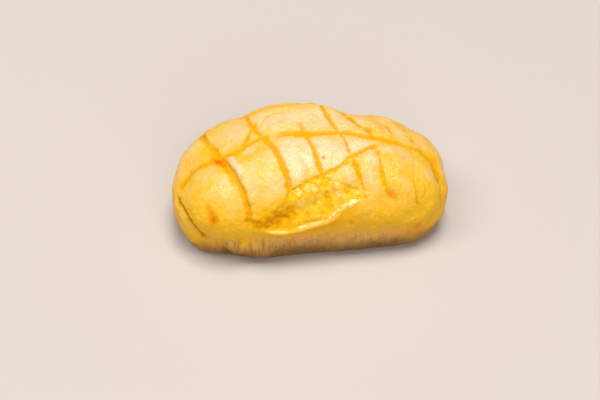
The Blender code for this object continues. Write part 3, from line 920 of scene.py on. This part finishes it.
class Nodes:
    """Adds shader nodes to a material and joins them up."""

    def __init__(self, name):
        self.material = bpy.data.materials.new(name)
        self.material.use_nodes = True
        self.tree = self.material.node_tree
        self.shader = self.tree.nodes["Principled BSDF"]

    def put(self, socket, value):
        if isinstance(value, bpy.types.NodeSocket):
            self.tree.links.new(value, socket)
        else:
            socket.default_value = value

    def node(self, kind, inputs=(), **settings):
        node = self.tree.nodes.new("ShaderNode" + kind)
        for name, value in settings.items():
            setattr(node, name, value)
        for name, value in dict(inputs).items():
            self.put(node.inputs[name], value)
        return node

    def measure(self, name):
        return self.node("Attribute", attribute_name=name).outputs["Fac"]

    def math(self, operation, first, second):
        return self.node("Math", {0: first, 1: second}, operation=operation).outputs[0]

    def times(self, first, second):
        return self.math("MULTIPLY", first, second)

    def ramp(self, value, low, high, to_low=0.0, to_high=1.0):
        """The value carried smoothly from low..high to to_low..to_high."""
        inputs = {"Value": value, "From Min": low, "From Max": high, "To Min": to_low, "To Max": to_high}
        return self.node("MapRange", inputs, interpolation_type="SMOOTHSTEP").outputs["Result"]

    def noise(self, size, detail=2.0):
        """Noise with lumps about `size` metres across."""
        coordinates = self.node("TexCoord").outputs["Object"]
        inputs = {"Vector": coordinates, "Scale": 1 / size, "Detail": detail}
        return self.node("TexNoise", inputs).outputs["Fac"]

    def mix(self, factor, first, second):
        """The first colour, turned into the second as the factor goes from 0 to 1."""
        # The sockets for colours are numbered, because their names stand for other sockets too.
        node = self.node("Mix", data_type="RGBA")
        self.put(node.inputs[0], factor)
        self.put(node.inputs[6], first)
        self.put(node.inputs[7], second)
        return node.outputs[2]

    def bump(self, height, distance, normal=None):
        inputs = {"Height": height, "Distance": distance, "Strength": 1.0}
        if normal is not None:
            inputs["Normal"] = normal
        return self.node("Bump", inputs).outputs[0]

    def finish(self, **inputs):
        """Sets the shader's sockets, whose names are written here with underscores."""
        for name, value in inputs.items():
            self.put(self.shader.inputs[name.replace("_", " ").title().replace("Ior", "IOR")], value)
        return self.material


def baked_colour(nodes, patches, mottle, grain):
    """Golden crust with pale streaks and spots that are partly painted highlight, darker speckles and
    creamy flecks.
    """
    streaks_and_sheen = nodes.times(nodes.measure("top"), nodes.ramp(patches, *PALE_STREAKS_AND_SHEEN))
    pale_and_highlight = nodes.times(nodes.measure("pale_and_highlight"), nodes.ramp(mottle, *PALE_MOTTLE))
    pale_and_highlight = nodes.times(pale_and_highlight, nodes.ramp(grain, *PALE_GRAIN))
    colour = nodes.mix(nodes.math("ADD", streaks_and_sheen, pale_and_highlight), GOLD_CRUST, PALE_CRUST_AND_HIGHLIGHT)
    speckles = nodes.times(nodes.ramp(grain, *SPECKLE_GRAIN), nodes.ramp(patches, *SPECKLE_PATCHES))
    colour = nodes.mix(speckles, colour, SPECKLE_GOLD)
    flecks = nodes.times(nodes.ramp(grain, *FLECK_GRAIN), nodes.ramp(mottle, *FLECK_MOTTLE))
    return nodes.mix(flecks, colour, LUMP_CREAM)


def hollow_colour(nodes, grain):
    """Clotted butter, amber in its hollows and brown where it pools, with creamy spots that are partly
    painted highlight.
    """
    clots = nodes.noise(CLOT_SIZE)
    pool = nodes.measure("pool")
    colour = nodes.mix(nodes.ramp(clots, *CREAM_CLOTS), BUTTER_YELLOW, LUMP_CREAM)
    # Creamy spots, partly painted highlight.
    cream_and_highlight = nodes.times(nodes.measure("cream_and_highlight"), nodes.ramp(grain, *CREAM_GRAIN))
    colour = nodes.mix(cream_and_highlight, colour, GARLIC_CREAM)
    colour = nodes.mix(nodes.ramp(nodes.measure("lump"), *AMBER_HOLLOWS), colour, POOL_AMBER)
    colour = nodes.mix(nodes.math("MAXIMUM", pool, nodes.measure("amber")), colour, POOL_AMBER)
    return nodes.mix(nodes.times(pool, nodes.ramp(clots, *POOL_CLOTS)), colour, POOL_BROWN)


def foot_colour(nodes, mottle):
    """The matte foot, with painted shade that darkens it near the ground and browns it at the bun's ends.
    """
    # Painted shade: the foot darkens towards the ground.
    colour = nodes.mix(nodes.ramp(nodes.measure("rise"), *FOOT_RISE), MATTE_SHADE_AND_MOTTLE, MATTE_BAND)
    colour = nodes.mix(nodes.ramp(mottle, *FOOT_MOTTLE), colour, MATTE_SHADE_AND_MOTTLE)
    return nodes.mix(nodes.measure("end"), colour, FOOT_END_SHADE)


def crust_colour(nodes, patches, mottle, grain):
    """The whole crust: its baked top, its cuts, its hollow, its lip, its foot and its toasted spots, with
    painted shade in the fold, the wrinkles and the crease in front of the lip.
    """
    groove = nodes.mix(nodes.ramp(patches, *GROOVE_TOASTING), CUT_YELLOW, TOASTED_AND_CREASE_SHADE)
    colour = nodes.mix(nodes.measure("cut"), baked_colour(nodes, patches, mottle, grain), groove)
    colour = nodes.mix(nodes.ramp(nodes.measure("pool"), *POOL_STAIN), colour, FILM_GOLD)
    colour = nodes.mix(nodes.measure("basin"), colour, hollow_colour(nodes, grain))
    colour = nodes.mix(nodes.measure("bead"), colour, FILM_GOLD)
    # Painted shade: the crease in front of the lip is darkened to orange.
    colour = nodes.mix(nodes.ramp(nodes.measure("bead_crease"), *CREASE_SHADE), colour, TOASTED_AND_CREASE_SHADE)
    colour = nodes.mix(nodes.measure("glaze"), foot_colour(nodes, mottle), colour)
    # Painted shade in the bottoms of the deep wrinkles.
    colour = nodes.mix(nodes.measure("wrinkle_shade"), colour, WRINKLE_SHADE_BROWN)
    toasted = nodes.measure("toasted")
    colour = nodes.mix(nodes.ramp(toasted, *TOASTED_SPOT), colour, TOASTED_AND_CREASE_SHADE)
    colour = nodes.mix(nodes.ramp(toasted, *BROWNED_SPOT), colour, BROWNED)
    # Painted shade: the tuck's fold is darkened to olive.
    return nodes.mix(nodes.measure("fold_shade"), colour, FOLD_SHADE_OLIVE)


def crust_gloss(nodes):
    """How glossy the glaze is: less in the cuts and in the amber butter, and not at all on the foot."""
    gloss = nodes.times(nodes.ramp(nodes.measure("dull"), *GLOSS_BY_DULLNESS), nodes.measure("glaze"))
    amber = nodes.math("MAXIMUM", nodes.measure("pool"), nodes.measure("amber"))
    return nodes.times(gloss, nodes.ramp(amber, *GLOSS_BY_POOL))


def crust_relief(nodes, mottle, grain):
    """The finest bumps of the crust, which the lip and the hollow have little of."""
    on_bead = nodes.ramp(nodes.measure("bead"), *RELIEF_BY_BEAD)
    strength = nodes.times(on_bead, nodes.ramp(nodes.measure("basin"), *RELIEF_BY_BASIN))
    fine = nodes.bump(nodes.times(grain, strength), GRAIN_RELIEF)
    return nodes.bump(nodes.times(mottle, strength), MOTTLE_RELIEF, fine)


def crust_material():
    nodes = Nodes("crust")
    patches, mottle, grain = (
        nodes.noise(size, CRUST_DETAIL) for size in (PATCH_SIZE, MOTTLE_SIZE, GRAIN_SIZE)
    )
    gloss = crust_gloss(nodes)
    normal = crust_relief(nodes, mottle, grain)
    return nodes.finish(
        base_color=crust_colour(nodes, patches, mottle, grain),
        roughness=nodes.ramp(gloss, *ROUGHNESS_BY_GLOSS),
        specular_ior_level=0.06,
        coat_weight=nodes.times(gloss, nodes.ramp(nodes.measure("shine"), *COAT_BY_SHINE)),
        coat_roughness=0.24,
        normal=normal,
        coat_normal=normal,
        subsurface_weight=0.12,
        subsurface_radius=(1.0, 0.45, 0.12),
        subsurface_scale=1.6 * MM,
    )


def butter_material():
    nodes = Nodes("butter")
    ripple = nodes.noise(RIPPLE_SIZE)
    lumpy = nodes.mix(nodes.ramp(ripple, *BUTTER_RIPPLE), FILM_GOLD, LUMP_CREAM)
    return nodes.finish(
        base_color=nodes.mix(nodes.measure("amber"), lumpy, POOL_AMBER),
        roughness=0.3,
        normal=nodes.bump(ripple, SMALL_RELIEF),
        specular_ior_level=0.1,
        coat_weight=nodes.math("SUBTRACT", 1.0, nodes.measure("dry")),
        coat_roughness=0.14,
        coat_ior=1.6,
    )


def garlic_material():
    nodes = Nodes("garlic")
    patches = nodes.noise(GARLIC_PATCH_SIZE)
    return nodes.finish(
        base_color=nodes.mix(nodes.ramp(patches, *GARLIC_PATCHES), GARLIC_CREAM, LUMP_CREAM),
        roughness=0.6,
        specular_ior_level=0.25,
        normal=nodes.bump(patches, SMALL_RELIEF),
    )


def floor_material():
    nodes = Nodes("floor")
    return nodes.finish(base_color=FLOOR_COLOUR, roughness=0.6)


def make_floor():
    corners = np.array(((-1, -1, 0), (1, -1, 0), (1, 1, 0), (-1, 1, 0))) * FLOOR_HALF
    floor = make_mesh("floor", corners, np.array(((0, 1, 2, 3),)))
    floor.data.materials.append(floor_material())


def make_camera():
    azimuth, elevation, roll = (
        math.radians(angle) for angle in (CAMERA_AZIMUTH, CAMERA_ELEVATION, CAMERA_ROLL)
    )
    reach = math.cos(elevation)
    back = Vector((math.sin(azimuth) * reach, -math.cos(azimuth) * reach, math.sin(elevation)))
    level = Vector((0, 0, 1)).cross(back).normalized()
    upright = back.cross(level)
    right = math.cos(roll) * level + math.sin(roll) * upright
    up = back.cross(right)
    camera = bpy.data.objects.new("camera", bpy.data.cameras.new("camera"))
    camera.data.lens = CAMERA_LENS
    camera.data.sensor_width = CAMERA_SENSOR
    turn = Matrix((right, up, back)).transposed().to_4x4()
    camera.matrix_world = Matrix.Translation(CAMERA_TARGET + back * CAMERA_DISTANCE) @ turn
    bpy.context.scene.collection.objects.link(camera)
    bpy.context.scene.camera = camera


def make_area_light(name, place, sides, radiance):
    """A rectangular light that faces the bun, as bright as `radiance` all over."""
    light = bpy.data.lights.new(name, "AREA")
    light.shape = "RECTANGLE"
    light.size, light.size_y = sides
    light.energy = radiance * math.prod(sides) * math.pi
    light.color = LIGHT_COLOUR
    lamp = bpy.data.objects.new(name, light)
    lamp.location = place
    lamp.rotation_euler = Vector(place).to_track_quat("Z", "Y").to_euler()
    bpy.context.scene.collection.objects.link(lamp)


def make_world():
    world = bpy.data.worlds.new("studio")
    world.use_nodes = True
    background = world.node_tree.nodes["Background"]
    background.inputs["Color"].default_value = WORLD_COLOUR
    background.inputs["Strength"].default_value = WORLD_STRENGTH
    bpy.context.scene.world = world


def make_studio():
    make_floor()
    make_camera()
    make_world()
    for name, light in LIGHTS.items():
        make_area_light(name, *light)
    bpy.context.scene.view_settings.view_transform = "Standard"


def place(piece, material, slot):
    piece.data.materials.append(material)
    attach(piece, "root")


crust = Crust()
draws = np.random.default_rng(DRAWS_SEED)
in_basin = crust.basin * (1 - crust.bead) ** OFF_LIP_POWER
bun = make_bun(crust)
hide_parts("loaf")
place(bun, crust_material(), "crust")
butter = butter_material()
place(make_butter_film(crust), butter, "butter")
place(scatter("butter_beads", crust, BUTTER_BEADS, in_basin, draws), butter, "butter")
garlic = in_basin * crust.spots(GARLIC_SPOTS)
place(scatter("garlic_bits", crust, GARLIC_BITS, garlic, draws), garlic_material(), "butter")
make_studio()
